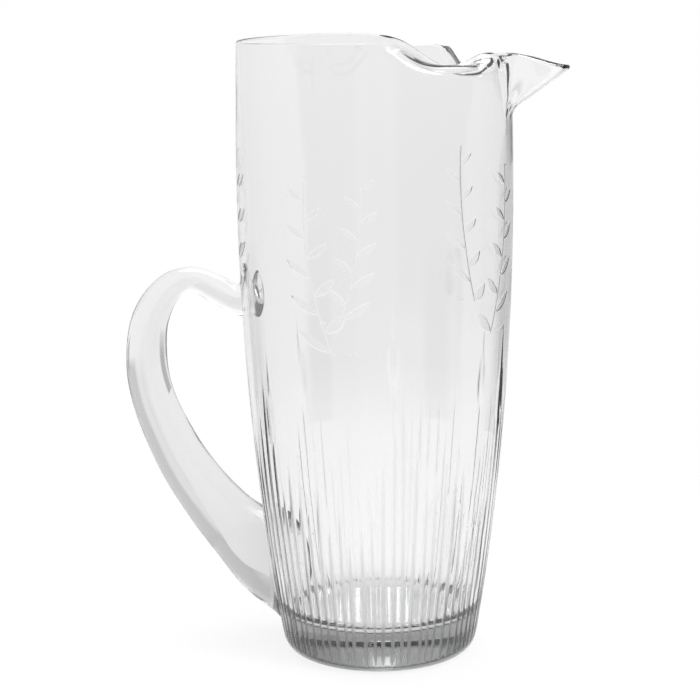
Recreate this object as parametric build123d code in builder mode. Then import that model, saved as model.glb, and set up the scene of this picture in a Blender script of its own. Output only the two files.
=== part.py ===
"""Glass cocktail pitcher: a blown vessel with a pinched ice lip and a pulled spout, and a solid drawn handle.

Millimetres, +Z up, the spout along +X. The origin is the middle of the foot, on the table.
"""
import os
from math import atan2, cos, degrees, dist, pi, radians, sin, sqrt, tan

from build123d import *

# Outside of the barrel: the foot, the heel, and the wall's radius at three heights
FOOT_RADIUS = 36.3
HEEL_RADIUS = 41.8
HEEL_HEIGHT = 8.0
HEEL_FULLNESS = 0.6
WAIST_RADIUS = 50.8
WAIST_HEIGHT = 75.0
BELLY_RADIUS = 56.7
BELLY_DROP = 64.0
RIM_RADIUS = 55.6
RIM_HEIGHT = 254.0

# Glass thickness
WALL = 2.8
BASE_THICKNESS = 16.5
FLOOR_INSET = 2.2
FLOOR_FILLET = 5.0

# Depth of the lip, worked by hand, below the rim
LIP_DEPTH = 40.0

# Rim in plan: the beak past the rim's circle, its channel, and the fold from the throat inside it out to the shoulder
BEAK_OVERHANG = 29.7
BEAK_LENGTH = 27.3
BEAK_HALF_WIDTH = 14.0
THROAT_INSET = 18.6
THROAT_HALF_WIDTH = 13.0
SHOULDER_ANGLE = 71.0
TIP_FILLET = 4.5
BEAK_FILLET = 10.0
THROAT_FILLET = 3.0
SHOULDER_FILLET = 8.0

# Drop of the rim below its height at the back
TIP_DROP = 12.3
CREST_DROP = 7.2
CREST_SETBACK = 1.0
CREST_LENGTH = 5.0
FOLD_DROP = 12.0
FOLD_LOW_ANGLE = 28.0
FOLD_HIGH_ANGLE = 82.0

# Drop to where the wall bends into the lip: under the spout from the rim's height, and from the crest at the ends of
# the fold and where its shelf is full
SPOUT_BEND_DROP = 29.5
FOLD_BEND_DROP = 3.0
SHELF_BEND_DROP = 0.2
SHELF_REACH = 12.0
SPOUT_BEND_TURN = 12.0
FOLD_BEND_TURN = 32.0
BEND_LENGTH = 3.5
BEND_TIGHTNESS = 0.6

# Sections of the lip fan out from a point on the spout's centre line, one every few degrees
FAN_SETBACK = 7.0
FAN_STEP = 4

# Gap that the join of lip and barrel may bridge, and reach of the search for a corner
JOIN_TOLERANCE = 0.02
CORNER_TOLERANCE = 0.01

# Handle: how far the middle of its bar stands off the wall, the height of its top, and the grip
HANDLE_REACH = 52.0
HANDLE_TOP = 155.0
GRIP_THICKNESS = 18.0
GRIP_WIDTH = 17.5

# Its shape from the lower pad up and round to the upper pad: reach, height, thickness and width, in percent of these
HANDLE_STATIONS = [
    (-24.2, 20.6, 278, 240),
    (2.3, 23.5, 222, 206),
    (28.3, 29.4, 161, 160),
    (50.2, 37.0, 139, 137),
    (71.2, 46.7, 125, 123),
    (86.3, 56.6, 114, 114),
    (96.9, 66.5, 106, 106),
    (100, 76.6, 101, 100),
    (94.0, 88.1, 90, 91),
    (76.3, 96.8, 72, 80),
    (53.3, 100, 60, 71),
    (31.3, 97.2, 70, 71),
    (12.5, 94.5, 74, 74),
    (-8.8, 96.5, 133, 80),
]


def ease(start, end, share):
    """Smooth step from start to end as share goes from 0 to 1."""
    held = min(max(share, 0.0), 1.0)
    return start + (end - start) * (1 - cos(pi * held)) / 2


def between(point, target, share):
    """Point on the way from one point to another."""
    return (
        point[0] + (target[0] - point[0]) * share,
        point[1] + (target[1] - point[1]) * share,
    )


# Heights and radii that follow from the sizes above
belly_height = RIM_HEIGHT - BELLY_DROP
lip_root_height = RIM_HEIGHT - LIP_DEPTH
floor_radius = HEEL_RADIUS - FLOOR_INSET


def upper_radius(height):
    """Radius of the wall from the belly up to the rim."""
    rise = (height - belly_height) / BELLY_DROP
    return BELLY_RADIUS + (RIM_RADIUS - BELLY_RADIUS) * rise**2


def handle_wall(height):
    """Radius of the cone through waist and belly, which the handle stands off from."""
    rise = (height - WAIST_HEIGHT) / (belly_height - WAIST_HEIGHT)
    return WAIST_RADIUS + (BELLY_RADIUS - WAIST_RADIUS) * rise


lip_root_radius = upper_radius(lip_root_height)

# Rim in plan: its outer edge, and the edge of the mouth
beak_apex_x = RIM_RADIUS + BEAK_OVERHANG
beak_x = beak_apex_x - BEAK_LENGTH
crest_end_x = beak_x - CREST_SETBACK
crest_start_x = crest_end_x - CREST_LENGTH
throat_x = RIM_RADIUS - THROAT_INSET
fan_x = throat_x - FAN_SETBACK
beak_half_angle = atan2(BEAK_HALF_WIDTH, BEAK_LENGTH)
spout_reach = beak_apex_x - TIP_FILLET * (1 / sin(beak_half_angle) - 1)
shoulder = (
    RIM_RADIUS * cos(radians(SHOULDER_ANGLE)),
    RIM_RADIUS * sin(radians(SHOULDER_ANGLE)),
)
corner_fillets = [
    (beak_apex_x, TIP_FILLET),
    (beak_x, BEAK_FILLET),
    (throat_x, THROAT_FILLET),
    (shoulder[0], SHOULDER_FILLET),
]
with BuildSketch() as rim_plan:
    with BuildLine():
        Polyline(
            (beak_apex_x, 0),
            (beak_x, BEAK_HALF_WIDTH),
            (throat_x, THROAT_HALF_WIDTH),
            shoulder,
        )
        CenterArc((0, 0), RIM_RADIUS, SHOULDER_ANGLE, 180 - SHOULDER_ANGLE)
        mirror(about=Plane.XZ)
    make_face()
    for corner_x, corner_radius in corner_fillets:
        pair = rim_plan.vertices().filter_by_position(Axis.X, corner_x - CORNER_TOLERANCE, corner_x + CORNER_TOLERANCE)
        fillet(pair, corner_radius)
with BuildSketch() as mouth_plan:
    add(rim_plan.sketch)
    offset(amount=-WALL)


def rim_top(x, y):
    """Height of the rim's crest over a point of the plan."""
    if x > throat_x:
        rise = (x - throat_x) / (crest_start_x - throat_x)
        fall = (x - crest_end_x) / (spout_reach - crest_end_x)
        return RIM_HEIGHT - ease(FOLD_DROP, CREST_DROP, rise) - ease(0, TIP_DROP - CREST_DROP, fall)
    angle = degrees(atan2(abs(y), x))
    share = (angle - FOLD_LOW_ANGLE) / (FOLD_HIGH_ANGLE - FOLD_LOW_ANGLE)
    return RIM_HEIGHT - ease(FOLD_DROP, 0, share)


def plan_distance(plan, turn):
    """Distance from the fan's centre to the edge of a plan outline."""
    far = (
        fan_x + 2 * spout_reach * cos(radians(turn)),
        2 * spout_reach * sin(radians(turn)),
    )
    return plan.face().intersect(Edge.make_line((fan_x, 0), far)).edge().length


def circle_distance(radius, turn):
    """Distance from the fan's centre to a circle about the vessel's axis."""
    aside = fan_x * sin(radians(turn))
    return sqrt(radius**2 - aside**2) - fan_x * cos(radians(turn))


def lip_points(turn):
    """Points of the lip's section: root, bend, rim edge and bulge of the rim, for each face of the glass."""
    outer_reach = plan_distance(rim_plan, turn)
    inner_reach = plan_distance(mouth_plan, turn)
    half_width = (outer_reach - inner_reach) / 2
    middle = (outer_reach + inner_reach) / 2

    def crest(reach):
        return rim_top(fan_x + reach * cos(radians(turn)), reach * sin(radians(turn)))

    bend_share = (abs(turn) - SPOUT_BEND_TURN) / (FOLD_BEND_TURN - SPOUT_BEND_TURN)
    shelf_share = (circle_distance(RIM_RADIUS, turn) - outer_reach) / SHELF_REACH
    fold_bend_height = crest(middle) - ease(FOLD_BEND_DROP, SHELF_BEND_DROP, shelf_share)
    bend_height = ease(RIM_HEIGHT - SPOUT_BEND_DROP, fold_bend_height, bend_share)
    bend_radius = upper_radius(bend_height)
    outer_bend_reach = circle_distance(bend_radius, turn)
    inner_bend_reach = circle_distance(bend_radius - WALL, turn)
    lean = atan2(
        middle - (outer_bend_reach + inner_bend_reach) / 2,
        crest(middle) - bend_height,
    )
    across = WALL / 2 * sin(lean)
    along = WALL / 2 * cos(lean)
    outer_edge = (middle + half_width * cos(lean), crest(outer_reach) - along - across)
    inner_edge = (middle - half_width * cos(lean), crest(inner_reach) - along + across)
    return {
        "outer_root": (circle_distance(lip_root_radius, turn), lip_root_height),
        "inner_root": (circle_distance(lip_root_radius - WALL, turn), lip_root_height),
        "outer_bend": (outer_bend_reach, bend_height),
        "inner_bend": (inner_bend_reach, bend_height + WALL * tan(lean / 2)),
        "inner_growth": WALL * tan(lean / 2),
        "outer_edge": outer_edge,
        "inner_edge": inner_edge,
        "outer_bulge": (outer_edge[0] + across * 4 / 3, outer_edge[1] + along * 4 / 3),
        "inner_bulge": (inner_edge[0] + across * 4 / 3, inner_edge[1] + along * 4 / 3),
    }


def draw_face(start, bend, end, bend_length):
    """One face of the lip's glass in section: straight, round the bend, and straight."""
    length = min(bend_length, dist(bend, start) / 2, dist(bend, end) / 2)
    bend_start = between(bend, start, length / dist(bend, start))
    bend_end = between(bend, end, length / dist(bend, end))
    Line(start, bend_start)
    Bezier(
        bend_start,
        between(bend_start, bend, BEND_TIGHTNESS),
        between(bend_end, bend, BEND_TIGHTNESS),
        bend_end,
    )
    Line(bend_end, end)


# Lip: one side is lofted a little past the middle plane, cut there, and mirrored
with BuildPart() as lip:
    for turn in range(-FAN_STEP, 181 + FAN_STEP, FAN_STEP):
        at = lip_points(turn)
        section_plane = Plane(
            origin=(fan_x, 0, 0),
            x_dir=(cos(radians(turn)), sin(radians(turn)), 0),
            z_dir=(sin(radians(turn)), -cos(radians(turn)), 0),
        )
        with BuildSketch(section_plane):
            with BuildLine():
                draw_face(at["outer_root"], at["outer_bend"], at["outer_edge"], BEND_LENGTH)
                Bezier(at["outer_edge"], at["outer_bulge"], at["inner_bulge"], at["inner_edge"])
                draw_face(at["inner_edge"], at["inner_bend"], at["inner_root"], BEND_LENGTH + at["inner_growth"])
                Line(at["inner_root"], at["outer_root"])
            make_face()
    loft()
    split(bisect_by=Plane.XZ, keep=Keep.BOTTOM)
    mirror(about=Plane.XZ)

# Barrel: heavy base, rounded heel and wall, up to the lip's root
outer_root = (lip_root_radius, lip_root_height)
inner_root = (lip_root_radius - WALL, lip_root_height)
heel = (HEEL_RADIUS, HEEL_HEIGHT)
waist = (WAIST_RADIUS, WAIST_HEIGHT)
belly = (BELLY_RADIUS, belly_height)
with BuildPart() as barrel:
    with BuildSketch(Plane.XZ):
        with BuildLine():
            wall = Spline(heel, waist, belly, outer_root)
            heel_corner = (HEEL_RADIUS - (wall % 0).X / (wall % 0).Y * HEEL_HEIGHT, 0)
            Bezier(
                (FOOT_RADIUS, 0),
                between((FOOT_RADIUS, 0), heel_corner, HEEL_FULLNESS),
                between(heel, heel_corner, HEEL_FULLNESS),
                heel,
            )
            Line(outer_root, inner_root)
            Spline(
                inner_root,
                (BELLY_RADIUS - WALL, belly_height),
                (WAIST_RADIUS - WALL, WAIST_HEIGHT),
                (floor_radius, BASE_THICKNESS),
            )
            Polyline((floor_radius, BASE_THICKNESS), (0, BASE_THICKNESS), (0, 0), (FOOT_RADIUS, 0))
        make_face()
    revolve(axis=Axis.Z)
    floor_edge = barrel.edges().filter_by(GeomType.CIRCLE).filter_by_position(
        Axis.Z, BASE_THICKNESS, BASE_THICKNESS
    )
    fillet(floor_edge, FLOOR_FILLET)

# Vessel: lip and barrel are one piece of glass
with BuildPart() as vessel:
    add(barrel.part.fuse(lip.part, tol=JOIN_TOLERANCE))

# Inside of the barrel, out to the middle of its wall, which the handle's ends may not reach into
with BuildPart() as inside:
    with BuildSketch(Plane.XZ):
        with BuildLine():
            Spline(
                (HEEL_RADIUS - WALL / 2, HEEL_HEIGHT),
                (WAIST_RADIUS - WALL / 2, WAIST_HEIGHT),
                (BELLY_RADIUS - WALL / 2, belly_height),
                (lip_root_radius - WALL / 2, lip_root_height),
            )
            Polyline(
                (lip_root_radius - WALL / 2, lip_root_height),
                (0, lip_root_height),
                (0, HEEL_HEIGHT),
                (HEEL_RADIUS - WALL / 2, HEEL_HEIGHT),
            )
        make_face()
    revolve(axis=Axis.Z)

# Handle: oval sections square to its run, with both ends pressed on to the wall
run_points = [
    (-handle_wall(HANDLE_TOP * height / 100) - HANDLE_REACH * reach / 100, HANDLE_TOP * height / 100)
    for reach, height, thickness, width in HANDLE_STATIONS
]
with BuildPart() as handle:
    for index, (reach, height, thickness, width) in enumerate(HANDLE_STATIONS):
        x, z = run_points[index]
        before = run_points[max(index - 1, 0)]
        after = run_points[min(index + 1, len(run_points) - 1)]
        run = (after[0] - before[0], 0, after[1] - before[1])
        with BuildSketch(Plane(origin=(x, 0, z), x_dir=(0, 1, 0), z_dir=run)):
            Ellipse(GRIP_WIDTH * width / 200, GRIP_THICKNESS * thickness / 200)
    loft()
    add(vessel.part, mode=Mode.SUBTRACT)
    add(inside.part, mode=Mode.SUBTRACT)

os.makedirs("parts", exist_ok=True)
vessel.part.label = "vessel"
export_step(vessel.part, "parts/vessel.step")
handle.part.label = "handle"
export_step(handle.part, "parts/handle.step")
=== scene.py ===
import math
import random

import bmesh
import bpy
import numpy as np
from mathutils import Matrix, Quaternion, Vector


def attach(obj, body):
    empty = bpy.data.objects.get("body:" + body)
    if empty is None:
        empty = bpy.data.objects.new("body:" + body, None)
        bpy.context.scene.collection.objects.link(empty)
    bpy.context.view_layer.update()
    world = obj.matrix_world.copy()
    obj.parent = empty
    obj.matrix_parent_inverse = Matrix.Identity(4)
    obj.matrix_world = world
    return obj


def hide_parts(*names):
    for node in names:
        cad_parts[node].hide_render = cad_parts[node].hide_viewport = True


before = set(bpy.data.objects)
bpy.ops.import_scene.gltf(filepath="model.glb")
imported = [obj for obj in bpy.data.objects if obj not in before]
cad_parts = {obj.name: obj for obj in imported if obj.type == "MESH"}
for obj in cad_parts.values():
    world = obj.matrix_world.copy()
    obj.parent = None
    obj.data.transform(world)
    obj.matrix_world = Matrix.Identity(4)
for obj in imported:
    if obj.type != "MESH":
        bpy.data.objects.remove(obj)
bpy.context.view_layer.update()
print("frame loaded:", sorted(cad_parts))

millimetre = 0.001


def easeStep(start, end, share):
    held = min(max(share, 0.0), 1.0)
    return start + (end - start) * (1 - math.cos(math.pi * held)) / 2


def fadeIn(value, start, length):
    return easeStep(0, 1, (value - start) / length)


def between(start, end, count):
    # evenly spaced values after the start, up to and with the end
    return [start + (end - start) * k / count for k in range(1, count + 1)]


def mixPoints(a, b, share):
    return (a[0] + (b[0] - a[0]) * share, a[1] + (b[1] - a[1]) * share)


def bezierPoint(controls, t):
    a, b, c, d = controls
    k = ((1 - t) ** 3, 3 * t * (1 - t) ** 2, 3 * t * t * (1 - t), t ** 3)
    return tuple(k[0] * a[i] + k[1] * b[i] + k[2] * c[i] + k[3] * d[i] for i in (0, 1))


def hermiteWeights(t):
    # weights of the start, its slope, the end and its slope
    return (
        2 * t ** 3 - 3 * t * t + 1,
        t ** 3 - 2 * t * t + t,
        3 * t * t - 2 * t ** 3,
        t ** 3 - t * t,
    )


def knotCurve(knots, height):
    # radius at a height, through knots of height, radius and slope
    for low, high in zip(knots, knots[1:]):
        if height <= high[0] or high is knots[-1]:
            span = high[0] - low[0]
            start, leave, end, arrive = hermiteWeights((height - low[0]) / span)
            return start * low[1] + leave * span * low[2] + end * high[1] + arrive * span * high[2]


# the blown barrel, in millimetres, with knots of height, radius and slope
barrel = {
    "footRadius": 36.3,
    "heelFullness": 0.72,
    "wallKnots": [
        (8.0, 41.8, 0.168),
        (75.0, 50.8, 0.102),
        (190.0, 56.7, 0.003),
        (214.0, 56.545, -0.016),
    ],
    "insideKnots": [
        (16.5, 39.6, 0.172),
        (75.0, 48.0, 0.105),
        (190.0, 53.9, 0.003),
        (214.0, 54.1, 0.0088),
    ],
    "floorHeight": 16.5,
    "floorFillet": 8.0,
}
heelHeight, heelRadius, heelSlope = barrel["wallKnots"][0]


def wallRadius(height):
    return knotCurve(barrel["wallKnots"], height)


def insideRadius(height):
    return knotCurve(barrel["insideKnots"], height)


# the lip, pinched in on both sides of a pulled spout, in millimetres and degrees
lip = {
    "rimRadius": 55.6,
    "rimHeight": 254.0,
    "rootHeight": 214.0,
    "bellyRadius": 56.7,
    "bellyHeight": 190.0,
    "apexX": 85.3,
    "beak": (58.0, 14.0),
    "throat": (37.0, 13.0),
    "shoulderAngle": 71.0,
    "tipFillet": 4.5,
    "beakFillet": 10.0,
    "throatFillet": 3.0,
    "shoulderFillet": 8.0,
    "tipDrop": 12.3,
    "crestDrop": 7.2,
    "crestX": (52.0, 57.0),
    "foldDrop": 12.0,
    "foldAngles": (28.0, 82.0),
    "spoutBend": 224.5,
    "foldBendDrop": 3.0,
    "shelfBendDrop": 0.2,
    "shelfReach": 12.0,
    "bendTurns": (12.0, 32.0),
    "bendLengths": (3.5, 6.0),  # in the spout and on the fold
    "tightness": 0.6,
    "fanX": 30.0,  # the lip's sections fan out from here
    "wall": 1.7,  # the glass thins towards the lip
    "cornerSteps": 16,
    "circleSteps": 60,
    "runStep": 1.5,
}


def leftOf(direction):
    return Vector((-direction.y, direction.x))


def armsBetween(first, last, steps):
    angles = [first] + between(first, last, steps)
    return [Vector((math.cos(a), math.sin(a))) for a in angles]


def roundCorner(before, corner, after, radius, steps):
    # points of a filleted corner, each with its normal into the mouth
    first = (corner - before).normalized()
    second = (after - corner).normalized()
    turn = math.atan2(first.x * second.y - first.y * second.x, first.dot(second))
    start = corner - first * radius * math.tan(abs(turn) / 2)
    side = math.copysign(1, turn)
    centre = start + leftOf(first) * radius * side
    made = []
    for k in range(steps + 1):
        arm = Matrix.Rotation(turn * k / steps, 2) @ (start - centre)
        made.append((centre + arm, -arm * side / radius))
    return made


def rimPlan():
    # half of the rim seen from above, from the spout's tip round to the handle side
    steps = lip["cornerSteps"]
    apex, beak, throat = Vector((lip["apexX"], 0)), Vector(lip["beak"]), Vector(lip["throat"])
    angle = math.radians(lip["shoulderAngle"])
    shoulder = Vector((math.cos(angle), math.sin(angle))) * lip["rimRadius"]
    # only half of the tip's corner is on this side
    corners = roundCorner(Vector((beak.x, -beak.y)), apex, beak, lip["tipFillet"], 2 * steps)[steps:]
    corners += roundCorner(apex, beak, throat, lip["beakFillet"], steps)
    corners += roundCorner(beak, throat, shoulder, lip["throatFillet"], steps)
    # the shoulder rounds from the straight fold into the rim's own circle
    fillet = lip["shoulderFillet"]
    along = (shoulder - throat).normalized()
    inward = leftOf(along)
    foot = throat + inward * fillet
    half = foot.dot(along)
    inner = lip["rimRadius"] - fillet
    centre = foot + along * (math.sqrt(half * half - foot.length_squared + inner * inner) - half)
    startAngle = math.atan2(-inward.y, -inward.x)
    endAngle = math.atan2(centre.y, centre.x)
    for arm in armsBetween(startAngle, endAngle, steps):
        corners.append((centre + arm * fillet, -arm))
    for arm in armsBetween(endAngle, math.pi, lip["circleSteps"])[1:]:
        corners.append((arm * lip["rimRadius"], -arm))
    # straight runs get points too, so that a turn reads off smoothly
    filled = []
    for (p, n), (q, m) in zip(corners, corners[1:]):
        parts = max(1, int((q - p).length / lip["runStep"]))
        filled += [(p.lerp(q, k / parts), n.lerp(m, k / parts)) for k in range(parts)]
    return filled + corners[-1:]


def fanTable(points):
    # how far the rim stands from the fan's middle at each turn
    fan = Vector((lip["fanX"], 0))
    table = sorted((math.degrees(math.atan2(p.y, p.x - fan.x)), (p - fan).length) for p in points)
    return np.array(table).T


planPoints = rimPlan()
outerFan = fanTable([p for p, n in planPoints])
innerFan = fanTable([p + n * lip["wall"] for p, n in planPoints])
spoutReach = planPoints[0][0].x


def rimTop(x, y):
    if x > lip["throat"][0]:
        rise = (x - lip["throat"][0]) / (lip["crestX"][0] - lip["throat"][0])
        fall = (x - lip["crestX"][1]) / (spoutReach - lip["crestX"][1])
        drop = easeStep(lip["foldDrop"], lip["crestDrop"], rise)
        return lip["rimHeight"] - drop - easeStep(0, lip["tipDrop"] - lip["crestDrop"], fall)
    low, high = lip["foldAngles"]
    share = (math.degrees(math.atan2(abs(y), x)) - low) / (high - low)
    return lip["rimHeight"] - easeStep(lip["foldDrop"], 0, share)


def circleReach(radius, turn):
    aside = lip["fanX"] * math.sin(turn)
    return math.sqrt(radius * radius - aside * aside) - lip["fanX"] * math.cos(turn)


def faceCurve(start, bend, end, length):
    # one face of the lip: straight, round the bend, and straight
    length = min(length, math.dist(bend, start) / 2, math.dist(bend, end) / 2)
    first = mixPoints(bend, start, length / math.dist(bend, start))
    last = mixPoints(bend, end, length / math.dist(bend, end))
    pulls = [mixPoints(p, bend, lip["tightness"]) for p in (first, last)]
    return (start, first, *pulls, last, end)


def facePoint(curve, t):
    # t runs 0 to 1 up to the bend, 1 to 2 round it and 2 to 3 after it
    if t < 1:
        return mixPoints(curve[0], curve[1], t)
    if t > 2:
        return mixPoints(curve[4], curve[5], t - 2)
    return bezierPoint(curve[1:5], t - 1)


def lipCurves(turnDegrees):
    # three curves of the lip in one upright plane: up the outside, over the rim, down the inside
    turn = math.radians(abs(turnDegrees))
    wall = lip["wall"]
    outer = float(np.interp(abs(turnDegrees), *outerFan))
    inner = float(np.interp(abs(turnDegrees), *innerFan))
    middle, halfWidth = (outer + inner) / 2, (outer - inner) / 2

    def crest(reach):
        return rimTop(lip["fanX"] + reach * math.cos(turn), reach * math.sin(turn))

    low, high = lip["bendTurns"]
    foldShare = (abs(turnDegrees) - low) / (high - low)
    bendLength = easeStep(*lip["bendLengths"], foldShare)
    shelf = circleReach(lip["rimRadius"], turn) - outer
    bendDrop = easeStep(lip["foldBendDrop"], lip["shelfBendDrop"], shelf / lip["shelfReach"])
    bendHeight = easeStep(lip["spoutBend"], crest(middle) - bendDrop, foldShare)
    rise = (bendHeight - lip["bellyHeight"]) / (lip["rimHeight"] - lip["bellyHeight"])
    bendRadius = lip["bellyRadius"] + (lip["rimRadius"] - lip["bellyRadius"]) * rise ** 2
    outerBend = (circleReach(bendRadius, turn), bendHeight)
    innerReach = circleReach(bendRadius - wall, turn)
    lean = math.atan2(middle - (outerBend[0] + innerReach) / 2, crest(middle) - bendHeight)
    mitre = wall * math.tan(lean / 2)
    innerBend = (innerReach, bendHeight + mitre)
    across, along = wall / 2 * math.sin(lean), wall / 2 * math.cos(lean)
    outerEdge = (middle + halfWidth * math.cos(lean), crest(outer) - along - across)
    innerEdge = (middle - halfWidth * math.cos(lean), crest(inner) - along + across)
    outerRoot = (circleReach(wallRadius(lip["rootHeight"]), turn), lip["rootHeight"])
    innerRoot = (circleReach(insideRadius(lip["rootHeight"]), turn), lip["rootHeight"])
    bulge = (across * 4 / 3, along * 4 / 3)  # rounds the rim as a half circle
    return {
        "up": faceCurve(outerRoot, outerBend, outerEdge, bendLength),
        "over": (
            outerEdge,
            (outerEdge[0] + bulge[0], outerEdge[1] + bulge[1]),
            (innerEdge[0] + bulge[0], innerEdge[1] + bulge[1]),
            innerEdge,
        ),
        "down": faceCurve(innerEdge, innerBend, innerRoot, bendLength + mitre),
    }


def lipPoint(curves, zone, value):
    return (bezierPoint if zone == "over" else facePoint)(curves[zone], value)


# upright mitre cuts round the lower barrel, and a few oval cuts above them
cutting = {
    "cuts": 72,
    "columnsPerCut": 10,
    "depth": 0.3,
    "depthRange": (0.8, 1.1),
    "flank": 0.4,  # depth lost for each millimetre off the cut's middle
    "bottomRound": 0.12,
    "cutOffsets": (0.3, 0.6, 0.9),
    "footStart": 2.5,
    "footOver": 4.0,
    "topHeight": 92.0,
    "topWave": 17.0,
    "topWaves": [(1.0, 5, 0.6), (0.6, 11, 2.1)],  # share, waves in a turn and phase
    "topScatter": 13.0,
    "taper": 26.0,
    "lean": 0.012,
    "leanHeight": 60.0,
    "wander": 0.45,
    "wanderFade": (130.0, 60.0),
    "evenFrom": 150.0,  # above this the mesh columns settle to even spacing
    "evenOver": 50.0,
    "padAngle": 27.0,  # no cuts this near to the handle's middle
    "ovals": [(-126, 104), (-10, 110), (44, 108), (98, 112), (148, 106)],
    "ovalHalfLength": 13.5,
    "ovalHalfWidth": 3.3,
    "ovalDepth": 0.5,
    "ovalTail": 22.0,  # an oval's cut runs on this far above it
    "mattDepth": 0.12,  # from this depth on a cut is fully matt
    "mattRoughness": 0.45,
    "seed": 7,
}
dice = random.Random(cutting["seed"])
cutLines = []
for index in range(cutting["cuts"]):
    angle = 2 * math.pi * (index + 0.5) / cutting["cuts"]
    offHandle = abs(math.degrees(angle) - 180)
    wave = sum(share * math.sin(angle * waves + phase) for share, waves, phase in cutting["topWaves"])
    top = cutting["topHeight"] + cutting["topWave"] * wave
    cutLines.append({
        "angle": angle,
        "shift": dice.uniform(-1, 1) * cutting["wander"],
        "lean": dice.uniform(-1, 1) * cutting["lean"],
        "top": top + dice.uniform(-1, 1) * cutting["topScatter"],
        "depth": 0 if offHandle < cutting["padAngle"] else cutting["depth"] * dice.uniform(*cutting["depthRange"]),
    })


def angleGap(a, b):
    return math.remainder(a - b, 2 * math.pi)


ovalCuts = []
for azimuth, height in cutting["ovals"]:
    # each oval hangs from a long cut
    nearest = min(cutLines, key=lambda c: abs(angleGap(c["angle"], math.radians(azimuth))))
    nearest["top"] = height + cutting["ovalHalfLength"] + cutting["ovalTail"]
    ovalCuts.append((nearest["angle"], height))


def cutMiddle(line, height):
    # angle of a cut's middle at a height, wandering a little as hand work does
    fade = 1 - fadeIn(height, *cutting["wanderFade"])
    aside = line["shift"] + line["lean"] * (height - cutting["leanHeight"])
    return line["angle"] + fade * aside / wallRadius(max(height, heelHeight))


def cutDepth(line, aside, height):
    foot = fadeIn(height, cutting["footStart"], cutting["footOver"])
    top = easeStep(0, 1, (line["top"] - height) / cutting["taper"])
    lost = cutting["flank"] * (math.hypot(aside, cutting["bottomRound"]) - cutting["bottomRound"])
    return max(0.0, line["depth"] * foot * top - lost)


def dishDepth(angle, height):
    deepest = 0.0
    for middle, ovalHeight in ovalCuts:
        along = (height - ovalHeight) / cutting["ovalHalfLength"]
        if abs(along) < 1:
            aside = angleGap(angle, middle) * wallRadius(height) / cutting["ovalHalfWidth"]
            deepest = max(deepest, cutting["ovalDepth"] * (1 - along ** 2 - aside ** 2))
    return deepest


def columnPlace(column, height):
    # angle of a mesh column at a height, and how deep it is cut there
    per, offsets = cutting["columnsPerCut"], cutting["cutOffsets"]
    index, step = divmod(column + per // 2, per)
    step -= per // 2
    line = cutLines[index % cutting["cuts"]]
    radius = wallRadius(max(height, heelHeight))
    middle = cutMiddle(line, height)
    if abs(step) <= len(offsets):
        aside = math.copysign(offsets[abs(step) - 1], step) if step else 0.0
    else:
        # the land between two cuts
        side = 1 if step > 0 else -1
        other = cutMiddle(cutLines[(index + side) % cutting["cuts"]], height)
        gap = abs(angleGap(other, middle)) * radius / 2
        share = (abs(step) - len(offsets)) / (per / 2 - len(offsets))
        aside = side * (offsets[-1] + (gap - offsets[-1]) * share)
    pitch = 2 * math.pi * radius / cutting["cuts"]
    even = step * pitch / per
    settle = fadeIn(height, cutting["evenFrom"], cutting["evenOver"])
    angle = middle + (aside + (even - aside) * settle) / radius
    return angle, cutDepth(line, aside, height)


# curves of the vessel's foot, on both sides of the glass
filletRadius = barrel["floorFillet"]
filletSlope = math.atan(barrel["insideKnots"][0][2])
filletHeight = barrel["floorHeight"] + filletRadius
filletCentre = (insideRadius(filletHeight) - filletRadius / math.cos(filletSlope), filletHeight)
filletTop = filletHeight - filletRadius * math.sin(filletSlope)
footEdge, heelTop = (barrel["footRadius"], 0), (heelRadius, heelHeight)
heelCorner = (heelRadius - heelSlope * heelHeight, 0)
heelCurve = (
    footEdge,
    mixPoints(footEdge, heelCorner, barrel["heelFullness"]),
    mixPoints(heelTop, heelCorner, barrel["heelFullness"]),
    heelTop,
)

# rows of the vessel's mesh, from the middle of the foot up the outside, over the rim and down to the floor
vesselMesh = {
    "underRadii": (0, 18, 32, barrel["footRadius"]),
    "heel": 8,
    "cutWall": 46,
    "plainWall": 9,
    "bend": 8,
    "rim": 8,
    "inside": 18,
    "fillet": 6,
    "floor": 4,
    "sectors": 10,
    "seamMerge": 0.001,
}
lipSteps = [0, 1 / 3, 2 / 3, 1] + between(1, 2, vesselMesh["bend"]) + [2.33, 2.67, 3]
lipRoot = lip["rootHeight"]
vesselRows = [("under", r) for r in vesselMesh["underRadii"]]
vesselRows += [("heel", t) for t in between(0, 1, vesselMesh["heel"])]
vesselRows += [("wall", z) for z in between(heelHeight, cutting["evenFrom"], vesselMesh["cutWall"])]
vesselRows += [("wall", z) for z in between(cutting["evenFrom"], lipRoot, vesselMesh["plainWall"])[:-1]]
vesselRows += [("up", t) for t in lipSteps]
vesselRows += [("over", t) for t in between(0, 1, vesselMesh["rim"])]
vesselRows += [("down", 3 - t) for t in lipSteps[-2::-1]]
vesselRows += [("inside", z) for z in between(lipRoot, filletTop, vesselMesh["inside"])[:-1]]
vesselRows += [("fillet", t) for t in [0] + between(0, 1, vesselMesh["fillet"])]
vesselRows += [("floor", r) for r in between(filletCentre[0], 0, vesselMesh["floor"])]


def rowPoint(zone, value):
    # radius and height of a row on the handle's side, where the spun profile is drawn
    if zone == "under":
        return (value, 0)
    if zone == "heel":
        return bezierPoint(heelCurve, value)
    if zone == "wall":
        return (wallRadius(value), value)
    if zone == "inside":
        return (insideRadius(value), value)
    if zone == "fillet":
        a = -filletSlope - (math.pi / 2 - filletSlope) * value
        return (filletCentre[0] + filletRadius * math.cos(a), filletCentre[1] + filletRadius * math.sin(a))
    if zone == "floor":
        return (value, barrel["floorHeight"])
    reach, height = lipPoint(lipCurves(180.0), zone, value)
    return (reach - lip["fanX"], height)


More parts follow.
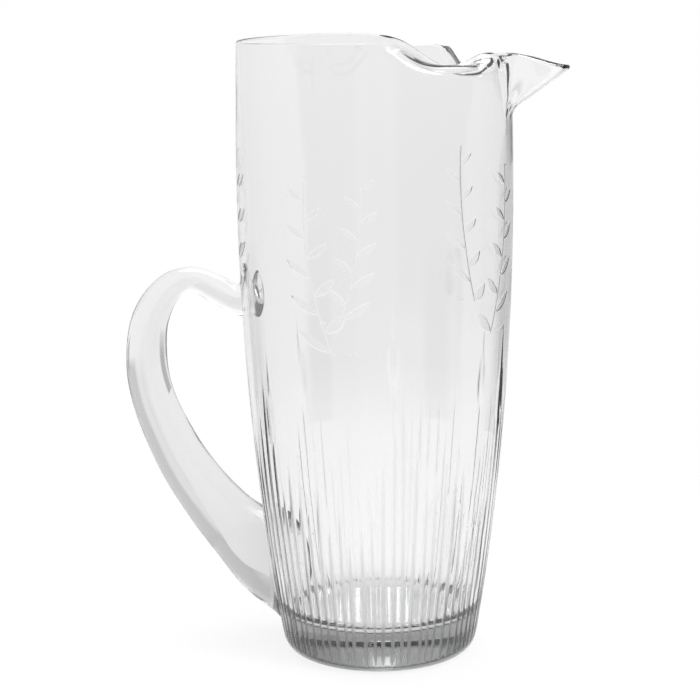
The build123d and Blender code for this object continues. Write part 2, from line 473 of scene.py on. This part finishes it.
def closeMesh(bm):
    # a closed skin, from millimetres to metres
    bmesh.ops.remove_doubles(bm, verts=bm.verts, dist=0.0005)
    bmesh.ops.recalc_face_normals(bm, faces=bm.faces)
    bmesh.ops.scale(bm, vec=(millimetre, millimetre, millimetre), verts=bm.verts)
    return bm


def spinVessel(bm, rowLayer, columns):
    chain = []
    for row, (zone, value) in enumerate(vesselRows):
        radius, height = rowPoint(zone, value)
        vert = bm.verts.new((radius, 0, height))
        vert[rowLayer] = row
        chain.append(vert)
    edges = [bm.edges.new(pair) for pair in zip(chain, chain[1:])]
    # one sector is spun, then copied round: far quicker than one long spin
    sectors = vesselMesh["sectors"]
    sectorAngle = 2 * math.pi / sectors
    bmesh.ops.spin(
        bm, geom=chain + edges, cent=(0, 0, 0), axis=(0, 0, 1), angle=sectorAngle, steps=columns // sectors
    )
    sector = bm.verts[:] + bm.edges[:] + bm.faces[:]
    for k in range(1, sectors):
        copied = bmesh.ops.duplicate(bm, geom=sector)["geom"]
        moved = [v for v in copied if isinstance(v, bmesh.types.BMVert)]
        bmesh.ops.rotate(bm, cent=(0, 0, 0), matrix=Matrix.Rotation(sectorAngle * k, 3, "Z"), verts=moved)
    bmesh.ops.remove_doubles(bm, verts=bm.verts, dist=vesselMesh["seamMerge"])


def lipSection(column):
    # the upright plane that a mesh column follows through the lip, and its angle further down inside
    angle, _ = columnPlace(column, lipRoot)
    root = wallRadius(lipRoot)
    turn = math.atan2(root * math.sin(angle), root * math.cos(angle) - lip["fanX"])
    curves = lipCurves(math.degrees(turn))
    reach = curves["down"][-1][0]
    insideAngle = math.atan2(reach * math.sin(turn), lip["fanX"] + reach * math.cos(turn))
    return turn, curves, insideAngle


def makeVessel():
    bm = bmesh.new()
    rowLayer = bm.verts.layers.int.new("row")
    mattLayer = bm.verts.layers.float.new("matt")
    columns = cutting["cuts"] * cutting["columnsPerCut"]
    spinVessel(bm, rowLayer, columns)
    # work the plain spun shape into cuts and lip
    sections = {}
    for vert in bm.verts:
        if math.hypot(vert.co.x, vert.co.y) < 1e-6:
            continue
        zone, value = vesselRows[vert[rowLayer]]
        column = round(math.atan2(vert.co.y, vert.co.x) / (2 * math.pi) * columns) % columns
        if zone in ("under", "heel", "wall"):
            radius, height = rowPoint(zone, value)
            angle, depth = columnPlace(column, height)
            dish = dishDepth(angle, height)
            vert[mattLayer] = min(1.0, depth / cutting["mattDepth"]) if depth > dish else 0.0
            radius -= max(depth, dish)
            vert.co = (radius * math.cos(angle), radius * math.sin(angle), height)
            continue
        if column not in sections:
            sections[column] = lipSection(column)
        turn, curves, insideAngle = sections[column]
        if zone in curves:
            reach, height = lipPoint(curves, zone, value)
            vert.co = (lip["fanX"] + reach * math.cos(turn), reach * math.sin(turn), height)
        else:
            radius, height = rowPoint(zone, value)
            vert.co = (radius * math.cos(insideAngle), radius * math.sin(insideAngle), height)
    return closeMesh(bm)


def finishPiece(bm, name):
    for face in bm.faces:
        face.smooth = True
    mesh = bpy.data.meshes.new(name)
    bm.to_mesh(mesh)
    bm.free()
    piece = bpy.data.objects.new(name, mesh)
    bpy.context.scene.collection.objects.link(piece)
    mesh.calc_loop_triangles()
    print(name, "triangles:", len(mesh.loop_triangles))
    return piece


vesselPiece = finishPiece(makeVessel(), "cut_glass_vessel")

# the drawn handle, in millimetres, its stations in percent of these sizes
handleBar = {
    "reach": 52.0,
    "top": 155.0,
    "thickness": 18.0,
    "width": 17.5,
    "stations": [
        (-24.2, 20.6, 278, 240),
        (2.3, 23.5, 222, 206),
        (28.3, 29.4, 161, 160),
        (50.2, 37.0, 139, 137),
        (71.2, 46.7, 125, 123),
        (86.3, 56.6, 114, 114),
        (96.9, 66.5, 106, 106),
        (100, 76.6, 101, 100),
        (94.0, 88.1, 90, 91),
        (76.3, 96.8, 72, 80),
        (53.3, 100, 60, 71),
        (31.3, 97.2, 70, 71),
        (12.5, 94.5, 74, 74),
        (-8.8, 96.5, 133, 80),
    ],
    "sides": 48,
    "rings": 90,
    "capRings": 7,
    "sink": 0.5,  # both ends melt this far into the wall
    "lowestWall": 4.0,
    "lowSearch": (3.0, -1.2),  # the wall is met between these, in stations
    "highSearch": (-2.0, 1.0),  # the same at the top, from the last station
    "endEase": 5,
}


def handleStation(reach, height, thickness, width):
    z = handleBar["top"] * height / 100
    low, high = barrel["wallKnots"][1], barrel["wallKnots"][2]
    cone = low[1] + (high[1] - low[1]) * (z - low[0]) / (high[0] - low[0])
    return (
        -cone - handleBar["reach"] * reach / 100,
        z,
        handleBar["thickness"] * thickness / 200,
        handleBar["width"] * width / 200,
    )


handleStations = np.array([handleStation(*s) for s in handleBar["stations"]])
lastStation = len(handleStations) - 1


def handleAt(run):
    # centre x and z and both half sizes at a point of the run, counted in stations, and their rate
    index = min(max(int(math.floor(run)), 0), lastStation - 1)
    t = run - index
    p1, p2 = handleStations[index], handleStations[index + 1]
    p0 = handleStations[index - 1] if index else 2 * p1 - p2
    p3 = handleStations[index + 2] if index + 2 <= lastStation else 2 * p2 - p1
    m1, m2 = (p2 - p0) / 2, (p3 - p1) / 2
    if t < 0:
        return p1 + m1 * t, m1
    if t > 1:
        return p2 + m2 * (t - 1), m2
    start, leave, end, arrive = hermiteWeights(t)
    value = start * p1 + leave * m1 + end * p2 + arrive * m2
    rate = (6 * t * t - 6 * t) * (p1 - p2) + (3 * t * t - 4 * t + 1) * m1 + (3 * t * t - 2 * t) * m2
    return value, rate


def handleSkin(run, side):
    (x, z, halfThickness, halfWidth), rate = handleAt(run)
    ahead = Vector((rate[0], rate[1])).normalized()
    out = leftOf(ahead) * halfThickness * math.sin(side)
    return Vector((x + out.x, halfWidth * math.cos(side), z + out.y))


def sunkRadius(height):
    return wallRadius(max(height, handleBar["lowestWall"])) - handleBar["sink"]


def runToWall(side, start, end):
    # where a line along the bar goes into the wall
    clear, sunk = start, end
    for _ in range(40):
        middle = (clear + sunk) / 2
        point = handleSkin(middle, side)
        if math.hypot(point.x, point.y) > sunkRadius(point.z):
            clear = middle
        else:
            sunk = middle
    return sunk


def nextRing(bm, ring, places):
    edges = [bm.edges.get(pair) for pair in zip(ring, ring[1:] + ring[:1])]
    made = bmesh.ops.extrude_edge_only(bm, edges=edges)["geom"]
    fresh = {v for v in made if isinstance(v, bmesh.types.BMVert)}
    follow = []
    for vert, place in zip(ring, places):
        partner = next(e.other_vert(vert) for e in vert.link_edges if e.other_vert(vert) in fresh)
        partner.co = place
        follow.append(partner)
    return follow


def makeHandle():
    sides = [2 * math.pi * k / handleBar["sides"] for k in range(handleBar["sides"])]
    lowRuns = [runToWall(s, *handleBar["lowSearch"]) for s in sides]
    highRuns = [runToWall(s, *(lastStation + r for r in handleBar["highSearch"])) for s in sides]
    lowMean, highMean = sum(lowRuns) / len(sides), sum(highRuns) / len(sides)

    def ringPlaces(share):
        run = lowMean + (highMean - lowMean) * share
        lowShare, highShare = (1 - share) ** handleBar["endEase"], share ** handleBar["endEase"]
        places = []
        for side, lowRun, highRun in zip(sides, lowRuns, highRuns):
            bent = (lowRun - lowMean) * lowShare + (highRun - highMean) * highShare
            places.append(handleSkin(run + bent, side))
        return places

    bm = bmesh.new()
    circle = bmesh.ops.create_circle(bm, segments=handleBar["sides"], radius=1)["verts"]
    firstRing = sorted(circle, key=lambda v: math.atan2(v.co.y, v.co.x) % (2 * math.pi))
    for vert, place in zip(firstRing, ringPlaces(0)):
        vert.co = place
    ring = firstRing
    for step in range(1, handleBar["rings"] + 1):
        ring = nextRing(bm, ring, ringPlaces(step / handleBar["rings"]))
    # both ends close with rings laid on the wall
    for end in (firstRing, ring):
        middle = sum((v.co for v in end), Vector()) / len(end)
        start = [v.co.copy() for v in end]
        capRing = end
        for step in range(1, handleBar["capRings"] + 1):
            places = []
            for point in start:
                p = point.lerp(middle, step / handleBar["capRings"])
                radius = sunkRadius(p.z)
                places.append(Vector((-math.sqrt(radius * radius - p.y * p.y), p.y, p.z)))
            capRing = nextRing(bm, capRing, places)
    return closeMesh(bm)


handlePiece = finishPiece(makeHandle(), "drawn_glass_handle")


def calculator(tree):
    # makes Math nodes in one tree, fed by numbers or by other nodes' outputs
    def calc(operation, *inputs, clamp=False):
        node = tree.nodes.new("ShaderNodeMath")
        node.operation = operation
        node.use_clamp = clamp
        for socket, value in zip(node.inputs, inputs):
            if isinstance(value, (int, float)):
                socket.default_value = value
            else:
                tree.links.new(value, socket)
        return node.outputs[0]

    return calc


def newGroup(name, inputs, output):
    group = bpy.data.node_groups.new(name, "ShaderNodeTree")
    for label, kind in inputs:
        group.interface.new_socket(name=label, in_out="INPUT", socket_type=kind)
    group.interface.new_socket(name=output, in_out="OUTPUT", socket_type="NodeSocketFloat")
    return group, group.nodes.new("NodeGroupInput").outputs, group.nodes.new("NodeGroupOutput").inputs[output]


# leaf sprays wheel-engraved on the upper wall, in metres and radians
engraving = {
    "spray": {
        "Radius": 0.0556,
        "Sprays": 5,
        "Foot": 0.138,
        "Rise": 0.066,
        "Step": 0.0145,
        "Leaf Length": 0.0155,
        "Leaf Width": 0.0022,
        "Stem Width": 0.00045,
        "Lean": 0.38,
    },
    "turn": 0.35,
    "moodStep": 2.4,
    "moodSide": 0.15,
    "footSway": 0.007,
    "bow": 0.6,
    "shrink": 0.45,
    "leafAngle": 0.95,
    "leafCurl": 12.0,
    "leafEdge": 0.0006,
    "stemEdge": 0.0003,
    "skinRadius": 0.0540,
    "skinSharpness": 2000.0,
    "frost": 0.32,
    "depth": 0.35,
    "carveDistance": 0.0006,
}


def makeSprayGroup():
    # leaf sprays on the unrolled wall, one in each sector: 1 on a leaf or stem, 0 off it
    labels = ("Azimuth", "Height", *engraving["spray"])
    group, at, mask = newGroup("engravedSpray", [(label, "NodeSocketFloat") for label in labels], "Mask")
    calc = calculator(group)
    turns = calc("MULTIPLY", at["Azimuth"], calc("DIVIDE", at["Sprays"], 2 * math.pi))
    sector = calc("ROUND", turns)
    local = calc("MULTIPLY", calc("SUBTRACT", turns, sector), calc("DIVIDE", 2 * math.pi, at["Sprays"]))
    # every spray leans and stands a little differently
    mood = calc("SINE", calc("MULTIPLY", sector, engraving["moodStep"]))
    across = calc("MULTIPLY", local, at["Radius"])
    foot = calc("ADD", at["Foot"], calc("MULTIPLY", mood, engraving["footSway"]))
    rise = calc("SUBTRACT", at["Height"], foot)
    share = calc("DIVIDE", rise, at["Rise"])
    bow = calc("MULTIPLY", share, calc("SUBTRACT", 1.0, calc("MULTIPLY", share, engraving["bow"])))
    bow = calc("MULTIPLY", bow, calc("MULTIPLY", at["Lean"], at["Rise"]))
    bow = calc("MULTIPLY", bow, calc("SIGN", calc("ADD", mood, engraving["moodSide"])))
    offStem = calc("SUBTRACT", across, bow)
    side = calc("GREATER_THAN", offStem, 0.0)
    away = calc("ABSOLUTE", offStem)
    # leaves sit on each side in turn, one to a step, and shrink towards the tip
    small = calc("SUBTRACT", 1.0, calc("MULTIPLY", share, engraving["shrink"]))
    rung = calc("ADD", calc("DIVIDE", rise, at["Step"]), calc("MULTIPLY", side, 0.5))
    up = calc("MULTIPLY", calc("FRACT", rung), at["Step"])
    half = calc("MULTIPLY", calc("MULTIPLY", at["Leaf Length"], 0.5), small)
    sine, cosine = math.sin(engraving["leafAngle"]), math.cos(engraving["leafAngle"])
    along = calc("ADD", calc("MULTIPLY", away, sine), calc("MULTIPLY", up, cosine))
    along = calc("SUBTRACT", along, half)
    aside = calc("SUBTRACT", calc("MULTIPLY", away, cosine), calc("MULTIPLY", up, sine))
    curl = calc("MULTIPLY", calc("MULTIPLY", along, along), engraving["leafCurl"])
    aside = calc("ABSOLUTE", calc("ADD", aside, curl))
    room = calc("SUBTRACT", 1.0, calc("POWER", calc("DIVIDE", along, half), 2.0))
    width = calc("MULTIPLY", calc("MULTIPLY", at["Leaf Width"], small), room)
    leaf = calc("DIVIDE", calc("SUBTRACT", width, aside), engraving["leafEdge"], clamp=True)
    stem = calc("DIVIDE", calc("SUBTRACT", at["Stem Width"], away), engraving["stemEdge"], clamp=True)
    onStem = calc("MULTIPLY", calc("GREATER_THAN", share, 0.0), calc("LESS_THAN", share, 1.0))
    group.links.new(calc("MULTIPLY", calc("MAXIMUM", leaf, stem), onStem), mask)
    return group


def makeWaveGroup():
    # slow ripple of hot-worked glass, as a height
    group, at, height = newGroup(
        "blownRipple",
        [("Vector", "NodeSocketVector"), ("Scale", "NodeSocketFloat"), ("Fine", "NodeSocketFloat")],
        "Height",
    )
    calc = calculator(group)
    noises = []
    for detail, scale in ((1.0, at["Scale"]), (0.0, calc("MULTIPLY", at["Scale"], 4.0))):
        noise = group.nodes.new("ShaderNodeTexNoise")
        noise.inputs["Detail"].default_value = detail
        group.links.new(at["Vector"], noise.inputs["Vector"])
        group.links.new(scale, noise.inputs["Scale"])
        noises.append(noise.outputs["Fac"])
    broad, fine = noises
    group.links.new(calc("ADD", broad, calc("MULTIPLY", fine, at["Fine"])), height)
    return group


sprayGroup = makeSprayGroup()
waveGroup = makeWaveGroup()

# clear glass with a faint grey body, paler in the handle
glass = {
    "index": 1.52,
    "polish": 0.0,
    "bodyColour": (0.5, 0.505, 0.505, 1),
    "vesselDensity": 30.0,
    "handleDensity": 20.0,
    "vesselRipple": {"scale": 24.0, "fine": 0.1, "strength": 0.12},
    "handleRipple": {"scale": 30.0, "fine": 0.15, "strength": 0.25},
    "rippleDistance": 0.002,
    "rubHeight": 0.009,
    "rubSharpness": 150.0,
    "rubRoughness": 0.14,
    "smudgeScale": 90.0,
    "smudgeFrom": 0.55,
    "smudgeRoughness": 0.15,
}


def startGlass(name, density):
    material = bpy.data.materials.new(name)
    material.use_nodes = True
    nodes, links = material.node_tree.nodes, material.node_tree.links
    nodes.clear()
    output = nodes.new("ShaderNodeOutputMaterial")
    shader = nodes.new("ShaderNodeBsdfPrincipled")
    shader.inputs["Base Color"].default_value = (1, 1, 1, 1)
    shader.inputs["Metallic"].default_value = 0.0
    shader.inputs["Transmission Weight"].default_value = 1.0
    shader.inputs["IOR"].default_value = glass["index"]
    shader.inputs["Roughness"].default_value = glass["polish"]
    body = nodes.new("ShaderNodeVolumeAbsorption")
    body.inputs["Color"].default_value = glass["bodyColour"]
    body.inputs["Density"].default_value = density
    links.new(shader.outputs["BSDF"], output.inputs["Surface"])
    links.new(body.outputs["Volume"], output.inputs["Volume"])
    place = nodes.new("ShaderNodeTexCoord")
    return material, shader, place.outputs["Object"]


def addBump(tree, height, strength, distance):
    bump = tree.nodes.new("ShaderNodeBump")
    bump.inputs["Strength"].default_value = strength
    bump.inputs["Distance"].default_value = distance
    tree.links.new(height, bump.inputs["Height"])
    return bump


def addRipple(tree, place, spec):
    ripple = tree.nodes.new("ShaderNodeGroup")
    ripple.node_tree = waveGroup
    ripple.inputs["Scale"].default_value = spec["scale"]
    ripple.inputs["Fine"].default_value = spec["fine"]
    tree.links.new(place, ripple.inputs["Vector"])
    return addBump(tree, ripple.outputs["Height"], spec["strength"], glass["rippleDistance"])


def makeVesselGlass():
    material, shader, place = startGlass("cut_clear_glass", glass["vesselDensity"])
    tree = material.node_tree
    nodes, links = tree.nodes, tree.links
    calc = calculator(tree)
    axes = nodes.new("ShaderNodeSeparateXYZ")
    links.new(place, axes.inputs[0])
    azimuth = calc("ADD", calc("ARCTAN2", axes.outputs["Y"], axes.outputs["X"]), engraving["turn"])
    spray = nodes.new("ShaderNodeGroup")
    spray.node_tree = sprayGroup
    links.new(azimuth, spray.inputs["Azimuth"])
    links.new(axes.outputs["Z"], spray.inputs["Height"])
    for label, value in engraving["spray"].items():
        spray.inputs[label].default_value = value
    # only the outside of the wall is engraved
    squares = [calc("MULTIPLY", axes.outputs[axis], axes.outputs[axis]) for axis in ("X", "Y")]
    outward = calc("SUBTRACT", calc("SQRT", calc("ADD", *squares)), engraving["skinRadius"])
    onSkin = calc("MULTIPLY", outward, engraving["skinSharpness"], clamp=True)
    leafMask = calc("MULTIPLY", spray.outputs["Mask"], onSkin)
    # frosted leaves, matt cuts, and a foot and heel rubbed by tables
    matt = nodes.new("ShaderNodeAttribute")
    matt.attribute_name = "matt"
    leafFrost = calc("MULTIPLY", leafMask, engraving["frost"])
    cutFrost = calc("MULTIPLY", matt.outputs["Fac"], cutting["mattRoughness"])
    rubbed = calc("SUBTRACT", glass["rubHeight"], axes.outputs["Z"])
    rubbed = calc("MULTIPLY", rubbed, glass["rubSharpness"], clamp=True)
    rubbed = calc("MULTIPLY", rubbed, glass["rubRoughness"])
    links.new(calc("ADD", calc("MAXIMUM", leafFrost, cutFrost), rubbed), shader.inputs["Roughness"])
    wave = addRipple(tree, place, glass["vesselRipple"])
    carve = addBump(tree, leafMask, engraving["depth"], engraving["carveDistance"])
    carve.invert = True
    links.new(wave.outputs["Normal"], carve.inputs["Normal"])
    links.new(carve.outputs["Normal"], shader.inputs["Normal"])
    return material


def makeHandleGlass():
    material, shader, place = startGlass("drawn_clear_glass", glass["handleDensity"])
    tree = material.node_tree
    calc = calculator(tree)
    wave = addRipple(tree, place, glass["handleRipple"])
    tree.links.new(wave.outputs["Normal"], shader.inputs["Normal"])
    # faint handling marks
    marks = tree.nodes.new("ShaderNodeTexNoise")
    marks.inputs["Scale"].default_value = glass["smudgeScale"]
    tree.links.new(place, marks.inputs["Vector"])
    smudge = calc("SUBTRACT", marks.outputs["Fac"], glass["smudgeFrom"], clamp=True)
    tree.links.new(calc("MULTIPLY", smudge, glass["smudgeRoughness"]), shader.inputs["Roughness"])
    return material


vesselPiece.data.materials.append(makeVesselGlass())
handlePiece.data.materials.append(makeHandleGlass())
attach(vesselPiece, "root")
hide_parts("vessel")
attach(handlePiece, "root")
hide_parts("handle")
print("glass on both pieces")

# studio: white sweep, pale tent with paler panels and a greyer right side, two low grey flags, three lamps
studio = {
    "facing": 17.0,  # the camera's line, in degrees
    "tentTone": 0.88,
    "tentFrom": (-0.216, -0.165),
    "ceilingTone": 1.1,
    "ceilingFrom": (0.3, 0.5),
    "panels": [{"side": -1, "edge": 0.052, "tone": 0.06}, {"side": 1, "edge": 0.115, "tone": 0.045}],
    "panelSoft": 0.003,
    "flagTone": 0.5,
    "flagFrom": 0.6,
    "flagTo": 0.9,
    "flagSoft": 0.06,
    "flagTop": (-0.2, -0.08),
    "sideFrom": 0.24,
    "sideSoft": 0.1,
    "sideDim": 0.28,
    "fill": 1.0,
    "floorRadius": 0.36,
    "floorDrop": 0.0004,
    "paper": (0.94, 0.94, 0.94, 1),
    "shadow": 0.22,
    "shadowReach": 0.95,
    "lamps": [
        {"name": "softbox", "size": (1.1, 0.8), "place": (-0.35, 0.45, 1.5), "power": 7.0, "through": True},
        {"name": "key", "size": (0.3, 0.3), "place": (0.71, -0.26, 0.94), "power": 4.5, "through": False},
        {"name": "strip", "size": (0.45, 0.4), "place": (-0.877, 2.869, 1.02), "power": 1.6, "through": True},
    ],
    "lampAim": (0, 0, 0.15),
    "lightsOnly": {"strip": vesselPiece},
}
viewYaw = math.radians(studio["facing"])


def makeWorld():
    world = bpy.data.worlds.new("studio_tent")
    bpy.context.scene.world = world
    world.use_nodes = True
    nodes, links = world.node_tree.nodes, world.node_tree.links
    nodes.clear()
    calc = calculator(world.node_tree)

    def ramp(value, low, high):
        return calc("MULTIPLY", calc("SUBTRACT", value, low), 1 / (high - low), clamp=True)

    def dim(tone, share, loss):
        return calc("MULTIPLY", tone, calc("SUBTRACT", 1.0, calc("MULTIPLY", share, loss)))

    place = nodes.new("ShaderNodeTexCoord")
    axes = nodes.new("ShaderNodeSeparateXYZ")
    links.new(place.outputs["Generated"], axes.inputs[0])
    up = axes.outputs["Z"]
    rightParts = (
        calc("MULTIPLY", axes.outputs["X"], math.cos(viewYaw)),
        calc("MULTIPLY", axes.outputs["Y"], math.sin(viewYaw)),
    )
    toRight = calc("ADD", *rightParts)
    # white below the horizon, the tent's pale grey above it, a paler ceiling over that
    wallShare = ramp(up, *studio["tentFrom"])
    ceiling = ramp(up, *studio["ceilingFrom"])
    tone = calc("SUBTRACT", 1.0, calc("MULTIPLY", wallShare, 1 - studio["tentTone"]))
    tone = calc("SUBTRACT", tone, calc("MULTIPLY", ceiling, studio["tentTone"] - studio["ceilingTone"]))
    # paler panels hang to the left and right of the tent's back
    for spec in studio["panels"]:
        low, high = spec["edge"] - studio["panelSoft"], spec["edge"] + studio["panelSoft"]
        beyond = ramp(calc("MULTIPLY", toRight, spec["side"]), low, high)
        tone = calc("ADD", tone, calc("MULTIPLY", calc("MULTIPLY", beyond, wallShare), spec["tone"]))
    # low flags stand off to both sides of the camera's line
    aside = calc("ABSOLUTE", toRight)
    begun = ramp(aside, studio["flagFrom"], studio["flagFrom"] + studio["flagSoft"])
    ended = ramp(aside, studio["flagTo"] - studio["flagSoft"], studio["flagTo"])
    flag = calc("MULTIPLY", begun, calc("SUBTRACT", 1.0, ended))
    flag = calc("MULTIPLY", flag, calc("SUBTRACT", 1.0, ramp(up, *studio["flagTop"])))
    tone = dim(tone, flag, 1 - studio["flagTone"])
    # the tent's right-hand side is greyer
    rightSide = ramp(toRight, studio["sideFrom"], studio["sideFrom"] + studio["sideSoft"])
    tone = dim(tone, calc("MULTIPLY", rightSide, wallShare), studio["sideDim"])
    # plain white to the camera, the tent in the glass, an even fill for the rest
    light = nodes.new("ShaderNodeLightPath")
    seen = calc("ADD", light.outputs["Is Glossy Ray"], light.outputs["Is Transmission Ray"], clamp=True)
    fill = calc("MULTIPLY", calc("SUBTRACT", 1.0, seen), studio["fill"])
    level = calc("ADD", calc("MULTIPLY", tone, seen), fill)
    level = calc("MAXIMUM", level, light.outputs["Is Camera Ray"])
    background = nodes.new("ShaderNodeBackground")
    links.new(level, background.inputs["Color"])
    background.inputs["Strength"].default_value = 1.0
    output = nodes.new("ShaderNodeOutputWorld")
    links.new(background.outputs[0], output.inputs["Surface"])


makeWorld()


def makeFloor():
    bm = bmesh.new()
    bmesh.ops.create_circle(bm, cap_ends=True, cap_tris=True, segments=96, radius=studio["floorRadius"])
    bmesh.ops.translate(bm, vec=(0, 0, -studio["floorDrop"]), verts=bm.verts)
    floor = finishPiece(bm, "sweep")
    material = bpy.data.materials.new("white_sweep")
    material.use_nodes = True
    nodes, links = material.node_tree.nodes, material.node_tree.links
    nodes.clear()
    calc = calculator(material.node_tree)
    output = nodes.new("ShaderNodeOutputMaterial")
    paper = nodes.new("ShaderNodeBsdfDiffuse")
    paper.inputs["Color"].default_value = studio["paper"]
    glow = nodes.new("ShaderNodeEmission")
    glow.inputs["Strength"].default_value = 1.0
    mix = nodes.new("ShaderNodeMixShader")
    # the shadow shows near the foot and melts into plain white further out
    place = nodes.new("ShaderNodeTexCoord")
    away = nodes.new("ShaderNodeVectorMath")
    away.operation = "LENGTH"
    links.new(place.outputs["Object"], away.inputs[0])
    share = calc("DIVIDE", away.outputs["Value"], studio["floorRadius"] * studio["shadowReach"])
    near = calc("SUBTRACT", 1.0, share, clamp=True)
    links.new(calc("MULTIPLY", near, studio["shadow"]), mix.inputs["Fac"])
    links.new(glow.outputs[0], mix.inputs[1])
    links.new(paper.outputs[0], mix.inputs[2])
    links.new(mix.outputs[0], output.inputs["Surface"])
    floor.data.materials.append(material)


makeFloor()

for spec in studio["lamps"]:
    lampData = bpy.data.lights.new(spec["name"], "AREA")
    lampData.shape = "RECTANGLE"
    lampData.size, lampData.size_y = spec["size"]
    lampData.energy = spec["power"]
    lamp = bpy.data.objects.new(spec["name"], lampData)
    bpy.context.scene.collection.objects.link(lamp)
    lamp.location = spec["place"]
    lamp.rotation_euler = (Vector(studio["lampAim"]) - lamp.location).to_track_quat("-Z", "Y").to_euler()
    lamp.visible_camera = False
    lamp.visible_transmission = spec["through"]  # the key shows only in reflections
    if spec["name"] in studio["lightsOnly"]:
        lit = bpy.data.collections.new(spec["name"] + "_lit")
        lit.objects.link(studio["lightsOnly"][spec["name"]])
        lamp.light_linking.receiver_collection = lit
print("studio ready")

# camera, from the photograph's own perspective
shot = {
    "place": (0.1706, -0.5962, 0.2247),
    "pitch": 8.974,
    "roll": -0.842,
    "lens": 77.18,
    "sensor": 36,
}
cameraData = bpy.data.cameras.new("front")
cameraData.sensor_width = shot["sensor"]
cameraData.lens = shot["lens"]
camera = bpy.data.objects.new("front", cameraData)
bpy.context.scene.collection.objects.link(camera)
pitch = math.radians(shot["pitch"])
level = math.cos(pitch)
look = Vector((-math.sin(viewYaw) * level, math.cos(viewYaw) * level, -math.sin(pitch)))
camera.location = shot["place"]
camera.rotation_mode = "QUATERNION"
camera.rotation_quaternion = look.to_track_quat("-Z", "Y") @ Quaternion((0, 0, 1), math.radians(shot["roll"]))
bpy.context.scene.camera = camera
bpy.context.scene.view_settings.view_transform = "Standard"
